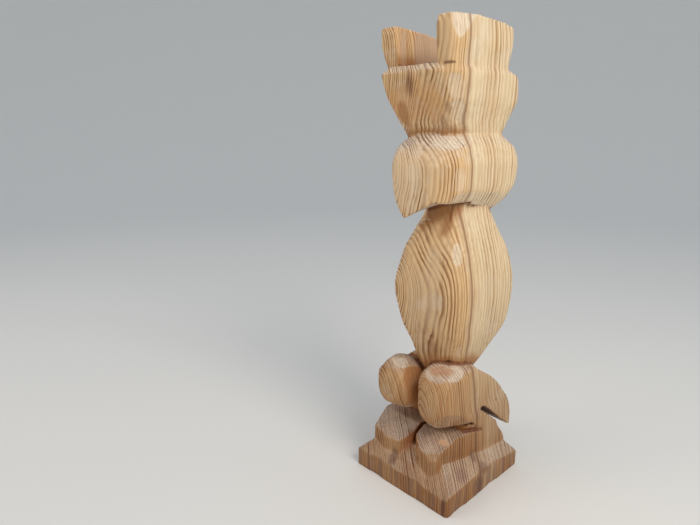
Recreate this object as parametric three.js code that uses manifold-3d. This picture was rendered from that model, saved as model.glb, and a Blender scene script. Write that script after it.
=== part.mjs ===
// A hand-carved wooden totem: one block of pine standing on its own square foot.
// From the ground up: a hipped base, two toes, two knees with a swept tail behind them,
// an egg-shaped torso, a head with a downward beak, a flared bowl and a two-slab crown.
// Millimetres, +Z up, the carving looks along -Y. The origin is under the middle of the base.
import * as THREE from 'three';
import * as BufferGeometryUtils from 'three/addons/utils/BufferGeometryUtils.js';
import Module from 'manifold-3d';

// ---- Driving dimensions -------------------------------------------------------------
const BASE_WIDTH = 95;         // X, along the toes
const BASE_DEPTH = 100;        // Y, toe to tail
const BASE_SIDE = 14.6;        // height of the upright sawn edge of the base
const BASE_TOP = 33;           // how high the hipped top reaches between the feet
const HAUNCH_HALF_WIDTH = 38;  // the planed side faces of the legs
const HAUNCH_TOP = 111;        // where the legs meet the torso
const RIM_HEIGHT = 319;        // widest line of the bowl
const CROWN_FOOT = 322;        // where the crown slabs stand on the bowl
const CROWN_TOP = 353;         // highest point of the carving

const ARC_STEPS = 6;           // segments in each rounded corner of a section
const LEVEL_STEPS = 3;         // sections between one key section and the next
// The long slanting flat under the right knee and haunch: its normal and a point on it.
const UNDERCUT = [[0.769, -0.355, -0.532], [HAUNCH_HALF_WIDTH, -23, 69]];
const BLOCK = 300;             // side of the block that slices a flat off a form

const wasm = await Module();
wasm.setup();

// ---- Solids -------------------------------------------------------------------------

/** Turns a closed three.js geometry into a solid for joining and cutting. */
function toSolid(geometry) {
  const bare = geometry.index ? geometry.toNonIndexed() : geometry.clone();
  for (const name of Object.keys(bare.attributes)) {
    if (name !== 'position') bare.deleteAttribute(name);
  }
  const merged = BufferGeometryUtils.mergeVertices(bare, 1e-3);
  const mesh = new wasm.Mesh({
    numProp: 3,
    vertProperties: new Float32Array(merged.attributes.position.array),
    triVerts: new Uint32Array(merged.index.array),
  });
  return new wasm.Manifold(mesh);
}

/** Turns a solid back into a three.js geometry with flat-shaded faces. */
function toGeometry(solid) {
  const mesh = solid.getMesh();
  const geometry = new THREE.BufferGeometry();
  geometry.setAttribute('position', new THREE.BufferAttribute(new Float32Array(mesh.vertProperties), 3));
  geometry.setIndex(new THREE.BufferAttribute(new Uint32Array(mesh.triVerts), 1));
  geometry.computeVertexNormals();
  return geometry;
}

/**
 * One section of a carved form: a four-sided outline with its own radius at each corner.
 * `corners` lists the radii in the order front-left, front-right, back-right, back-left.
 */
function sectionOutline([left, right, front, back, ...corners]) {
  const limit = 0.49 * Math.min(right - left, back - front);
  const radii = corners.map((radius) => Math.min(radius, limit));
  const centres = [
    [left + radii[0], front + radii[0]],
    [right - radii[1], front + radii[1]],
    [right - radii[2], back - radii[2]],
    [left + radii[3], back - radii[3]],
  ];
  return centres.flatMap(([x, y], corner) => {
    const start = Math.PI + (corner * Math.PI) / 2;
    const arc = new THREE.EllipseCurve(x, y, radii[corner], radii[corner], start, start + Math.PI / 2);
    return arc.getPoints(ARC_STEPS);
  });
}

/**
 * Lofts a closed form through key sections, each written as
 * [height, left, right, front, back, four corner radii].
 * A loft with one step has straight sides between its keys; more steps make them flow.
 */
function loft(keys, steps = LEVEL_STEPS) {
  const heights = keys.map((key) => key[0]);
  const values = keys.flatMap((key) => key.slice(1));
  const size = keys[0].length - 1;
  const spline = new THREE.CubicInterpolant(heights, values, size, new Float32Array(size));
  const rings = [heights[0]];
  for (let i = 1; i < heights.length; i += 1) {
    for (let step = 1; step <= steps; step += 1) {
      rings.push(THREE.MathUtils.lerp(heights[i - 1], heights[i], step / steps));
    }
  }
  const outlines = rings.map((height) => sectionOutline(Array.from(spline.evaluate(height))));
  const around = 4 * (ARC_STEPS + 1);
  const last = rings.length - 1;
  const geometry = new THREE.CylinderGeometry(1, 1, last, around, last);
  geometry.rotateX(Math.PI / 2);
  const position = geometry.attributes.position;
  for (let i = 0; i < position.count; i += 1) {
    const ring = Math.round(position.getZ(i) + last / 2);
    const outline = outlines[ring];
    const onAxis = Math.hypot(position.getX(i), position.getY(i)) < 0.5;
    if (onAxis) {
      const middle = outline.reduce((sum, point) => sum.add(point), new THREE.Vector2());
      middle.divideScalar(outline.length);
      position.setXYZ(i, middle.x, middle.y, rings[ring]);
    } else {
      const turn = Math.atan2(position.getY(i), position.getX(i)) / (2 * Math.PI);
      const step = (Math.round(turn * around) + around) % around;
      position.setXYZ(i, outline[step].x, outline[step].y, rings[ring]);
    }
  }
  return toSolid(geometry);
}

/** Stands a loft on its side, so that its height runs along -Y and its front faces down. */
function layForward(solid) {
  return solid.rotate([90, 0, 0]);
}

/** A slab of an outline drawn in the Y-Z plane, from x0 to x1. */
function acrossX(outline, x0, x1) {
  const shape = new THREE.Shape(outline.map(([y, z]) => new THREE.Vector2(y, z)));
  const geometry = new THREE.ExtrudeGeometry(shape, { depth: x1 - x0, bevelEnabled: false });
  geometry.applyMatrix4(new THREE.Matrix4().set(0, 0, 1, x0, 1, 0, 0, 0, 0, 1, 0, 0, 0, 0, 0, 1));
  return toSolid(geometry);
}

/**
 * A slab of an outline drawn in the X-Z plane, from y0 to y1. A twist makes it climb towards +Y,
 * the more so the further a point lies to the left of the outline's second corner.
 */
function acrossY(outline, y0, y1, twist = 0) {
  const shape = new THREE.Shape(outline.map(([x, z]) => new THREE.Vector2(x, z)));
  const geometry = new THREE.ExtrudeGeometry(shape, { depth: y1 - y0, bevelEnabled: false });
  geometry.applyMatrix4(new THREE.Matrix4().set(1, 0, 0, 0, 0, 0, -1, y1, 0, 1, 0, 0, 0, 0, 0, 1));
  const hinge = outline[1][0];
  const position = geometry.attributes.position;
  for (let i = 0; i < position.count; i += 1) {
    const climb = twist * (hinge - position.getX(i)) * (position.getY(i) + BASE_DEPTH / 2);
    position.setZ(i, position.getZ(i) + climb);
  }
  return toSolid(geometry);
}

/** A slab of an outline drawn in the X-Y plane, from z0 to z1. */
function upright(outline, z0, z1) {
  const shape = new THREE.Shape(outline.map(([x, y]) => new THREE.Vector2(x, y)));
  const geometry = new THREE.ExtrudeGeometry(shape, { depth: z1 - z0, bevelEnabled: false });
  geometry.translate(0, 0, z0);
  return toSolid(geometry);
}

/** Slices off everything beyond flats, each written as [normal, a point on it]. */
function sliced(solid, flats) {
  return flats.reduce((left, [normal, through]) => {
    const out = new THREE.Vector3(...normal).normalize();
    const block = new THREE.BoxGeometry(BLOCK, BLOCK, BLOCK);
    block.translate(0, 0, BLOCK / 2);
    block.applyQuaternion(new THREE.Quaternion().setFromUnitVectors(new THREE.Vector3(0, 0, 1), out));
    block.translate(...through);
    return left.subtract(toSolid(block));
  }, solid);
}

// ---- The carving, from the ground up ------------------------------------------------

/** Square foot of the block: sawn sides and a hipped top that was cut by knife. */
function base() {
  const x = BASE_WIDTH / 2;
  const y = BASE_DEPTH / 2;
  const block = loft([
    [0, -x, x, -y, y, 2, 2.5, 3, 2],
    [BASE_TOP, -x, x, -y, y, 2, 2.5, 3, 2],
  ], 1);
  return sliced(block, [
    [[0.03, -0.80, 0.60], [-20, -y, BASE_SIDE + 1]],
    [[-0.05, -0.82, 0.57], [-x, -y, BASE_SIDE]],
    [[0.06, -0.76, 0.65], [x, -y, BASE_SIDE + 0.3]],
    [[0.70, -0.06, 0.71], [x, -y, BASE_SIDE + 0.3]],
    [[0.74, 0.02, 0.67], [x, -4, BASE_SIDE + 2.8]],
    [[0.70, 0.10, 0.70], [x, y, BASE_SIDE - 2.5]],
    [[-0.66, -0.03, 0.75], [-x, -y, BASE_SIDE + 0.4]],
    [[-0.76, 0.06, 0.65], [-x, y, BASE_SIDE + 0.5]],
    [[0.10, 0.72, 0.69], [x, y, BASE_SIDE - 2.5]],
    [[-0.05, 0.60, 0.80], [-x, y, BASE_SIDE + 0.5]],
  ]);
}

/** A toe: a wedge that slopes down to the front, with upright sides and a sliced nose. */
function toe(side, plan, flats) {
  return sliced(acrossX(side, -41, 41).intersect(upright(plan, 10, 60)), flats);
}

/** Both toes. The right one runs on as a narrow ledge along the side of the haunch. */
function toes() {
  const rightSide = [
    [-46, 14], [-46, 35.5], [-24, 49], [-6, 48.5], [14, 44.3], [31, 40], [39.6, 29.9], [43, 24], [43, 14],
  ];
  const right = [
    [11, -41], [24, -43.5], [29.5, -41.5], [33.5, -27], [36.5, -8], [38, 12], [38, 43], [4, 43],
    [4, -10], [2, -33],
  ];
  const leftSide = [[-46, 14], [-46, 33.5], [-24, 48], [4, 48], [4, 14]];
  const left = [[-37, -40], [-23, -43.3], [-8, -42.5], [-1, -33], [-1, 4], [-38, 4], [-39.5, -20]];
  const rightFlats = [
    [[0.18, -0.80, 0.57], [24, -43.5, 33]],
    [[-0.72, -0.62, 0.30], [5, -41, 34]],
  ];
  const leftFlats = [
    [[-0.10, -0.86, 0.50], [-28, -43, 33.5]],
    [[0.75, -0.55, 0.36], [-5, -41, 34]],
  ];
  return toe(rightSide, right, rightFlats).add(toe(leftSide, left, leftFlats));
}

/** Both haunches, the rump and the tail in one profile, with the slanting notch under the tail. */
function haunches() {
  const profile = [
    [-10, 18], [-10, 52], [-12, 60], [-15, 67], [-20, 71], [-20, 90], [-17, 103], [-12, HAUNCH_TOP - 3.5],
    [-2.3, 101.9], [8, 95.5], [15.4, 90.8], [22.6, 85], [29.4, 78.4], [36.8, 70.6], [43, 63], [47.5, 55.6],
    [49.6, 48.5], [50, 40.5], [49.9, 34.2], [47.5, 35.3], [38.6, 42.2], [29.6, 49.6], [18.4, 59.5],
    [10.4, 65.6], [5.4, 67.8], [3.2, 66.6], [4.4, 64.6], [7.8, 62.4], [17.4, 54.9], [28.4, 46.3],
    [31.6, 39.2], [39.6, 29.9], [43, 24], [43, 18],
  ];
  const x = HAUNCH_HALF_WIDTH;
  const across = [[-x + 1, 10], [x, 10], [x, 104], [x - 6, 114], [-6, 114], [-x + 8, 93], [-x, 78], [-x, 30]];
  return sliced(acrossX(profile, -x, x).intersect(acrossY(across, -60, 60)), [UNDERCUT]);
}

/** A knee: a rounded beam along Y with a domed end and sliced shoulders. Keys run from heel to dome. */
function knee(keys, flats) {
  return sliced(layForward(loft(keys)), flats);
}

function knees() {
  const right = knee([
    [0, 14, 38, 64, 103, 8, 8, 10, 8],
    [14, 8.5, 38, 60, 107.5, 12, 12, 11, 12],
    [26, 5.5, 38, 59, 109.5, 14, 15, 11, 16],
    [35, 6, 37, 60, 108, 16, 16, 12, 18],
    [41, 9.5, 34, 64, 103, 16, 14, 12, 17],
    [44.3, 14.5, 30, 70, 96, 12, 12, 12, 12],
    [46, 20, 25, 78, 88, 6, 6, 6, 6],
  ], [
    UNDERCUT,
    [[0.62, -0.16, 0.77], [33.4, -24, 105.5]],
    [[0.05, -0.52, 0.85], [20, -33, 106.8]],
  ]);
  const left = knee([
    [0, -34, -4, 64, 92, 12, 8, 8, 12],
    [14, -37, -2, 61, 98.5, 14, 12, 14, 20],
    [26, -37.6, 0, 60, 103.2, 18, 15, 17, 24],
    [35, -36.6, -1, 61.5, 102.8, 19, 15, 17, 24],
    [41, -32.3, -5, 65, 97.5, 15, 13, 14, 18],
    [44, -26.5, -9, 71, 92, 10, 10, 10, 10],
    [45.6, -21, -14, 77, 85, 6, 6, 6, 6],
  ], [
    [[-0.76, -0.16, 0.63], [-34.6, -30, 92.3]],
    [[-0.20, -0.46, 0.87], [-19, -31, 102]],
    [[0.86, -0.30, 0.41], [-4.5, -33, 93]],
    [[0.10, -0.50, -0.86], [-19, -34, 62]],
  ]);
  return right.add(left);
}

/** Egg-shaped torso with a soft ridge on its front-right corner. */
function torso() {
  return loft([
    [94, -12, 22, -18, 12, 16, 14, 14, 14],
    [98, -14, 25.6, -22, 18.6, 18, 16, 16, 16],
    [112, -16.5, 30.6, -28, 31.8, 19, 15, 18, 18],
    [136, -24.6, 36.8, -34, 47.6, 17, 14, 18, 18],
    [163, -28, 38.6, -37, 49.2, 14, 14, 18, 18],
    [190, -24.8, 36.2, -34, 42.4, 18, 13, 18, 18],
    [210, -17.4, 30.6, -28.5, 33, 19, 11, 18, 18],
    [224, -12.4, 26.6, -23.5, 28.2, 18, 9, 18, 18],
    [238, -12, 24.4, -20, 25, 16, 9, 16, 16],
  ]);
}

/** Head, rounded over the top and behind, ending in front in a beak that hooks down. */
function head() {
  const body = loft([
    [218, -14.2, 24, -45.4, 22, 10, 14, 14, 14],
    [224, -18.2, 27.5, -46.2, 31.6, 12, 18, 18, 16],
    [232, -21.2, 32.3, -47, 40.4, 13.5, 22, 18, 16],
    [244, -23.4, 35.2, -47.2, 47.6, 14.5, 22, 18, 16],
    [256, -25, 35.5, -46.5, 49, 14.5, 20, 18, 16],
    [268, -25.2, 33, -41, 45.4, 15, 18, 16, 16],
    [277, -21.8, 28, -31.5, 36, 16, 16, 15, 14],
    [285, -17, 23, -24, 29, 14, 14, 14, 12],
  ]);
  const chin = [[-60, 180], [21, 180], [21, 233], [-6, 217.8], [-20, 238.6], [-60, 256]];
  const cheek = [[20, 180], [60, 180], [60, 231], [20, 232.2]];
  const nape = [[-12, 180], [-12, 230], [14, 225], [34, 221], [70, 221], [70, 180]];
  const cut = body
    .subtract(acrossY(chin, -60, -12, 0.0093))
    .subtract(acrossY(cheek, -60, -12))
    .subtract(acrossX(nape, -60, 60));
  return sliced(cut, [[[0.80, -0.04, -0.60], [33.8, 0, 237]]]);
}

/** Flared bowl: crisp front-left corner, soft front-right corner, chamfered rim. */
function bowl() {
  const stem = loft([
    [272, -20, 25.6, -26, 32.4, 6, 14, 14, 8],
    [278, -22, 27, -29, 34.6, 6, 16, 15, 8],
    [290, -26, 29.5, -35, 40.9, 5, 16, 15, 8],
    [304, -30, 32.3, -41, 45.2, 4, 16, 15, 8],
    [RIM_HEIGHT - 3, -30.9, 32.8, -45, 42.6, 3, 16, 14, 8],
    [RIM_HEIGHT, -30.9, 32.6, -45.6, 40.4, 2.5, 16, 14, 8],
  ]);
  const rim = loft([
    [RIM_HEIGHT - 4, -28, 30, -42, 38, 2.5, 14, 14, 8],
    [RIM_HEIGHT, -30.9, 32.6, -45.6, 40.4, 2.5, 16, 14, 8],
    [RIM_HEIGHT + 5, -26, 29.5, -41.5, 30, 2.5, 12, 14, 8],
  ], 1);
  return stem.add(rim);
}

/** Two upright slabs with a clear gap between them. */
function crown() {
  const foot = RIM_HEIGHT - 3;
  const rightOutline = [
    [-42.3, foot], [-42.6, CROWN_FOOT], [-44.9, 336], [-45.2, 347], [-43.8, CROWN_TOP - 1],
    [-35, CROWN_TOP - 0.3], [-20, CROWN_TOP], [-4, CROWN_TOP - 0.2], [12, CROWN_TOP - 0.9],
    [23, CROWN_TOP - 2.7], [27.9, 347.2], [28.8, 338], [28.4, 330], [24, CROWN_FOOT], [20, foot],
  ];
  const leftOutline = [
    [-40, foot], [-40.5, CROWN_FOOT], [-44.8, 338], [-45.9, 345], [-44.4, 349.7], [-20, 348.7], [2, 347.2],
    [22, 343.6], [27, 336], [23, CROWN_FOOT], [20, foot],
  ];
  const plan = loft([
    [foot, -25.3, 30.5, -43.6, 27, 3, 10, 9, 4],
    [CROWN_FOOT + 6, -29.2, 31, -45.2, 28, 3, 10, 9, 4],
    [340, -30.6, 31.8, -46.7, 30, 3, 10, 9, 4],
    [362, -30.6, 31.2, -46.7, 30, 3, 10, 9, 4],
  ], 2);
  const right = acrossX(rightOutline, 17.2, 34);
  const left = acrossX(leftOutline, -32, -18);
  return sliced(plan.intersect(right.add(left)), [[[0.958, -0.198, 0.209], [26.5, -45.6, 354]]]);
}

const carving = [base, toes, haunches, knees, torso, head, bowl, crown]
  .map((form) => form())
  .reduce((joined, solid) => joined.add(solid));

const pine = new THREE.MeshStandardMaterial({ color: 0xc9a06c, roughness: 0.82, metalness: 0 });

const totem = new THREE.Group();
const block = new THREE.Mesh(toGeometry(carving), pine);
block.name = 'totem_carving';
totem.add(block);

export default totem;
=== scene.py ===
"""Looks of the carved wooden totem: one block of pine, whittled, sanded and left bare.

The carving is modelled the way it was made. Rounded forms are lofted through a few key
sections and joined, the creases between them are knifed in, flats are sliced off the round
places, and the result is meshed and given solid wood whose annual rings run through the block.
Lengths in the shape code are millimetres; the finished mesh is in metres, like the frame.
"""

import logging
import math
from collections.abc import Callable, Sequence
from dataclasses import dataclass, field
from enum import Enum
from functools import partial
from typing import NamedTuple

import bpy
import numpy as np
from mathutils import Euler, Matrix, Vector


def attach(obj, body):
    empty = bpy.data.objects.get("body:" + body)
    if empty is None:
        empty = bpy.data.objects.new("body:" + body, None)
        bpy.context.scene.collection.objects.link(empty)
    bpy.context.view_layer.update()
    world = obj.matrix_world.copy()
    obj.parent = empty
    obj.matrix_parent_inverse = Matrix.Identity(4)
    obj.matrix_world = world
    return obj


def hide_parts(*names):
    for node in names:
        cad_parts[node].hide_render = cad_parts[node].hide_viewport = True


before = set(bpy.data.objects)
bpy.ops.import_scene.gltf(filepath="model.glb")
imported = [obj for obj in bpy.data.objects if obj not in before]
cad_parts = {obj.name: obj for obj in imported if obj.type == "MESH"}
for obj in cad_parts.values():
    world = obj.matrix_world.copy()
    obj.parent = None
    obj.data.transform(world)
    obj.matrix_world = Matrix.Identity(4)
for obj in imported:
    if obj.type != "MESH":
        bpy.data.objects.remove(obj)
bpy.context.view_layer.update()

log = logging.getLogger("totem")

MM = 0.001
SEED = 7

Array = np.ndarray

# A field takes points, one row each, and gives each its distance from a surface, negative inside.
Field = Callable[[Array], Array]


# ---- Numbers that drive the shape ------------------------------------------------------


@dataclass(frozen=True)
class Plan:
    """The block's sizes, the mesh's cell and the usual rounding of an edge, in millimetres."""

    base_width: float = 95.0
    base_depth: float = 100.0
    crown_top: float = 353.0
    cell: float = 1.3
    edge: float = 0.9


PLAN = Plan()


# ---- Distance fields -------------------------------------------------------------------


def smooth_max(a: Array, b: Array, radius: float) -> Array:
    """Intersects two fields with a rounded edge.

    Args:
        a: First distance, negative inside.
        b: Second distance, negative inside.
        radius: Size of the rounding, in millimetres.

    Returns:
        The joined distance.
    """
    gap = np.maximum(radius - np.abs(a - b), 0.0) / radius
    return np.maximum(a, b) + gap * gap * radius * 0.25


def smooth_min(a: Array, b: Array, radius: float) -> Array:
    """Joins two fields with a small fillet in the crease between them.

    Args:
        a: First distance, negative inside.
        b: Second distance, negative inside.
        radius: Size of the fillet, in millimetres.

    Returns:
        The joined distance.
    """
    return -smooth_max(-a, -b, radius)


def flowing(keys: Array, at: Array) -> Array:
    """Interpolates rows of key values without overshoot.

    Args:
        keys: One row per key: its position, then its values.
        at: Positions to read the values at.

    Returns:
        One row of values for each position.
    """
    x, y = keys[:, 0], keys[:, 1:]
    step = np.diff(x)[:, None]
    rise = np.diff(y, axis=0) / step
    before, after = rise[:-1], rise[1:]
    same_way = before * after > 0
    total = np.where(same_way, before + after, 1.0)
    slope = np.zeros_like(y)
    slope[1:-1] = np.where(same_way, 2 * before * after / total, 0.0)
    slope[0], slope[-1] = rise[0], rise[-1]
    at = np.clip(at, x[0], x[-1])
    i = np.clip(np.searchsorted(x, at) - 1, 0, len(x) - 2)
    h = step[i]
    t = ((at - x[i]) / h[:, 0])[:, None]
    return (
        (2 * t**3 - 3 * t**2 + 1) * y[i]
        + (t**3 - 2 * t**2 + t) * h * slope[i]
        + (3 * t**2 - 2 * t**3) * y[i + 1]
        + (t**3 - t**2) * h * slope[i + 1]
    )


class Axis(Enum):
    """Which way a loft is stacked: columns of a point that give its section and its height."""

    UP = (0, 1, 2, 1.0)
    FORWARD = (0, 2, 1, -1.0)


class Loft:
    """A carved form through four-sided sections with their own radius at each corner."""

    def __init__(self, keys: Sequence[Sequence[float]], axis: Axis = Axis.UP, flow: bool = True) -> None:
        """Keeps the key sections.

        Args:
            keys: Rows of height, left, right, front, back and the corner radii in the order
                front-left, front-right, back-right, back-left.
            axis: The way the sections are stacked.
            flow: Whether the sides flow through the keys or run straight between them.
        """
        self.keys = np.array(keys, dtype=float)
        self.axis = axis
        self.flow = flow

    def _values(self, height: Array) -> Array:
        if self.flow:
            return flowing(self.keys, height)
        columns = [np.interp(height, self.keys[:, 0], column) for column in self.keys[:, 1:].T]
        return np.stack(columns, axis=1)

    def _outline(self, u: Array, v: Array, height: Array) -> Array:
        left, right, near, far, *radii = self._values(height).T
        cu, cv = u - (left + right) / 2, v - (near + far) / 2
        half_u, half_v = (right - left) / 2, (far - near) / 2
        front = np.where(cu < 0, radii[0], radii[1])
        back = np.where(cu < 0, radii[3], radii[2])
        corner = np.where(cv < 0, front, back)
        corner = np.minimum(corner, 0.98 * np.minimum(half_u, half_v))
        du, dv = np.abs(cu) - half_u + corner, np.abs(cv) - half_v + corner
        outside = np.hypot(np.maximum(du, 0), np.maximum(dv, 0))
        return outside + np.minimum(np.maximum(du, dv), 0) - corner

    def __call__(self, points: Array) -> Array:
        """Gives the distance of each point from the form."""
        u_column, v_column, h_column, sign = self.axis.value
        u, v = points[:, u_column], points[:, v_column]
        height = points[:, h_column] * sign
        low, high = self.keys[0, 0], self.keys[-1, 0]
        inside = np.clip(height, low, high)
        side = self._outline(u, v, inside)
        nudge = 0.5
        lean = (self._outline(u, v, inside + nudge) - self._outline(u, v, inside - nudge)) / (2 * nudge)
        side = side / np.sqrt(1 + lean * lean)
        cap = np.maximum(low - height, height - high)
        return smooth_max(side, cap, PLAN.edge)


class Run(Enum):
    """Which way a slab runs: columns of a point that give its outline's two axes and its length."""

    ALONG_X = (1, 2, 0)
    ALONG_Y = (0, 2, 1)
    UP = (0, 1, 2)


class Prism:
    """A straight slab of an outline, drawn across the block or upright."""

    def __init__(self, run: Run, outline: Sequence[Sequence[float]], start: float, end: float,
                 twist: float = 0.0) -> None:
        """Keeps the outline.

        Args:
            run: The way the slab runs.
            outline: Corners of the outline, in order.
            start: Where the slab starts along its length.
            end: Where it ends.
            twist: How much steeper the outline climbs for each millimetre left of its second
                corner, with each millimetre from the front of the base.
        """
        self.columns = run.value
        self.outline = np.array(outline, dtype=float)
        self.start, self.end = start, end
        self.twist = twist

    def __call__(self, points: Array) -> Array:
        """Gives the distance of each point from the slab."""
        first, second, along = self.columns
        length = points[:, along]
        u = points[:, first]
        v = points[:, second] - self.twist * (self.outline[1, 0] - u) * (length + PLAN.base_depth / 2)
        squared = np.full(len(points), np.inf)
        inside = np.zeros(len(points), dtype=bool)
        for (u0, v0), (u1, v1) in zip(self.outline, np.roll(self.outline, -1, axis=0)):
            eu, ev = u1 - u0, v1 - v0
            wu, wv = u - u0, v - v0
            t = np.clip((wu * eu + wv * ev) / (eu * eu + ev * ev), 0, 1)
            squared = np.minimum(squared, (wu - eu * t) ** 2 + (wv - ev * t) ** 2)
            crosses = (v0 > v) != (v1 > v)
            if ev:
                inside ^= crosses & (u < u0 + (v - v0) * eu / ev)
        outline = np.where(inside, -1.0, 1.0) * np.sqrt(squared)
        cap = np.maximum(self.start - length, length - self.end)
        return np.maximum(outline, cap)


class Flat:
    """Everything on one side of a plane, for slices of the knife."""

    def __init__(self, normal: Sequence[float], through: Sequence[float]) -> None:
        """Keeps the plane.

        Args:
            normal: The way the sliced face looks.
            through: A point on the sliced face.
        """
        self.normal = np.array(normal, dtype=float)
        self.normal /= np.linalg.norm(self.normal)
        self.offset = float(self.normal @ np.array(through, dtype=float))

    @classmethod
    def through_points(cls, a: Sequence[float], b: Sequence[float], c: Sequence[float]) -> "Flat":
        """Plane through three points that go round anticlockwise as seen from outside.

        Args:
            a: First point.
            b: Second point.
            c: Third point.

        Returns:
            The plane.
        """
        first, second, third = (np.array(point, dtype=float) for point in (a, b, c))
        return cls(np.cross(second - first, third - first), a)

    def __call__(self, points: Array) -> Array:
        """Gives the distance of each point from the plane."""
        return points @ self.normal - self.offset


def gradient(shape: Field, points: Array, nudge: float = 0.35) -> Array:
    """Direction in which a field grows, by differences.

    Args:
        shape: The field.
        points: Points, one row each.
        nudge: Half the width of the difference, in millimetres.

    Returns:
        One unit vector for each point.
    """
    steps = nudge * np.eye(3)
    slopes = np.stack([shape(points + step) - shape(points - step) for step in steps], axis=1)
    length = np.linalg.norm(slopes, axis=1, keepdims=True)
    return slopes / np.maximum(length, 1e-9)


# ---- The carved forms ------------------------------------------------------------------


@dataclass(frozen=True)
class Slice:
    """One stroke of the knife: a flat with its middle, its reach and how pale it left the wood.

    Beyond its reach the flat lifts off the wood at the slope of the fade.
    """

    flat: Flat
    middle: Array
    reach: float
    tone: float
    fade: float = 0.16

    @classmethod
    def at(cls, middle: Sequence[float], facing: Sequence[float], reach: float, bite: float,
           tone: float = 0.6) -> "Slice":
        """Places a given stroke.

        Args:
            middle: The middle of the stroke on the old surface.
            facing: The way the new flat faces.
            reach: How far the stroke runs from its middle.
            bite: How deep it cuts.
            tone: How pale the fresh wood is, from nought to one.

        Returns:
            The stroke.
        """
        start = np.array(middle, dtype=float)
        normal = Flat(facing, start).normal
        return cls(Flat(normal, start - bite * normal), start, reach, tone)

    def __call__(self, points: Array) -> Array:
        """Gives the distance from the flat, which gives way to the old surface past its reach."""
        away = np.linalg.norm(points - self.middle, axis=1)
        return self.flat(points) - self.fade * np.maximum(away - self.reach, 0.0)

    def touches(self, points: Array, margin: float) -> Array:
        """Finds the points that the stroke can matter to.

        Args:
            points: Points, one row each.
            margin: How far past its reach it is still looked at.

        Returns:
            Their row numbers.
        """
        return np.flatnonzero(np.max(np.abs(points - self.middle), axis=1) < self.reach + margin)


@dataclass
class Form:
    """One rounded form of the carving with the flats that the knife left on it.

    The form fills the box from low to high. Its slices are the strokes given one by one, to
    which whittling adds the random ones, and its faces are the large flats that look fresh.
    """

    shape: Field
    low: Sequence[float]
    high: Sequence[float]
    strokes: int
    slices: list[Slice] = field(default_factory=list)
    faces: Sequence[Flat] = ()
    stroke_reach: tuple[float, float] = (3.0, 8.0)
    stroke_depth: tuple[float, float] = (0.1, 0.4)
    stroke_tone: tuple[float, float] = (0.1, 0.45)
    tilt: float = 0.035
    blend: float = 0.5
    skin: float = 3.0
    cut_margin: float = 8.0
    tone_margin: float = 4.0
    near: float = 4.0

    def beyond(self, points: Array) -> Array:
        """Tells how far outside the form's box each point is along each axis.

        Args:
            points: Points, one row each.

        Returns:
            One row for each point, negative inside.
        """
        return np.maximum(np.array(self.low) - points, points - np.array(self.high))

    def whittle(self, rng: np.random.Generator) -> None:
        """Slices flats off the form in random places.

        Args:
            rng: Source of the random places.
        """
        low, high = np.array(self.low, dtype=float), np.array(self.high, dtype=float)
        middle, half = (low + high) / 2, (high - low) / 2
        highest, outset, rounds, step, landed = 0.95, 1.3, 12, 4.0, 0.1
        turns = rng.uniform(0, math.tau, self.strokes)
        heights = rng.uniform(-highest, highest, self.strokes)
        level = np.sqrt(1 - heights**2)
        ways = np.stack([level * np.cos(turns), level * np.sin(turns), heights], axis=1)
        starts = middle + ways * half * outset
        for _ in range(rounds):
            starts -= np.clip(self.shape(starts), -step, step)[:, None] * gradient(self.shape, starts)
        normals = gradient(self.shape, starts)
        normals += rng.normal(0, self.tilt, normals.shape)
        settled = np.abs(self.shape(starts)) < landed
        for start, normal in zip(starts[settled], normals[settled]):
            reach = rng.uniform(*self.stroke_reach)
            bite = rng.uniform(*self.stroke_depth)
            self.slices.append(Slice.at(start, normal, reach, bite, rng.uniform(*self.stroke_tone)))

    def freshness(self, points: Array) -> Array:
        """Tells how freshly sliced the surface is: one on the form's own flats, less elsewhere.

        Args:
            points: Points on the surface, one row each.

        Returns:
            One value from nought to one for each point.
        """
        past_box, off_form, duller, full, face_edge, cut_edge = 0.3, 0.4, 0.225, 1.5, 0.16, 0.12
        fresh = np.zeros(len(points))
        own = np.flatnonzero(np.max(self.beyond(points), axis=1) < past_box)
        own = own[np.abs(self(points[own])) < off_form]
        at = points[own]
        for number, flat in enumerate(self.faces):
            value = (1 - duller * number) * np.clip(full - np.abs(flat(at)) / face_edge, 0, 1)
            fresh[own] = np.maximum(fresh[own], value)
        for cut in self.slices:
            near = cut.touches(at, self.tone_margin)
            value = cut.tone * np.clip(full - np.abs(cut(at[near])) / cut_edge, 0, 1)
            fresh[own[near]] = np.maximum(fresh[own[near]], value)
        return fresh

    def __call__(self, points: Array) -> Array:
        """Gives the distance from the carved form, or far away from its box and a millimetre."""
        distance = np.linalg.norm(np.maximum(self.beyond(points), 0), axis=1) + 1.0
        close = np.flatnonzero(distance < self.near + 1.0)
        nearby = points[close]
        exact = self.shape(nearby)
        skin = np.flatnonzero(np.abs(exact) < self.skin)
        at, value = nearby[skin], exact[skin]
        for cut in self.slices:
            touched = cut.touches(at, self.cut_margin)
            value[touched] = smooth_max(value[touched], cut(at[touched]), self.blend)
        exact[skin] = value
        distance[close] = exact
        return distance


def outside(shape: Field) -> Field:
    """Turns a shape inside out, so that keeping what it shares takes it away."""
    return lambda points: -shape(points)


def common(*shapes: Field, edge: float = PLAN.edge) -> Field:
    """Keeps what several shapes share.

    Args:
        *shapes: The shapes.
        edge: Rounding of the new edges, in millimetres.

    Returns:
        The shared part.
    """
    def shared(points: Array) -> Array:
        distance = shapes[0](points)
        for shape in shapes[1:]:
            distance = smooth_max(distance, shape(points), edge)
        return distance

    return shared


UNDERCUT = Flat((0.769, -0.355, -0.532), (38, -23, 69))


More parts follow.
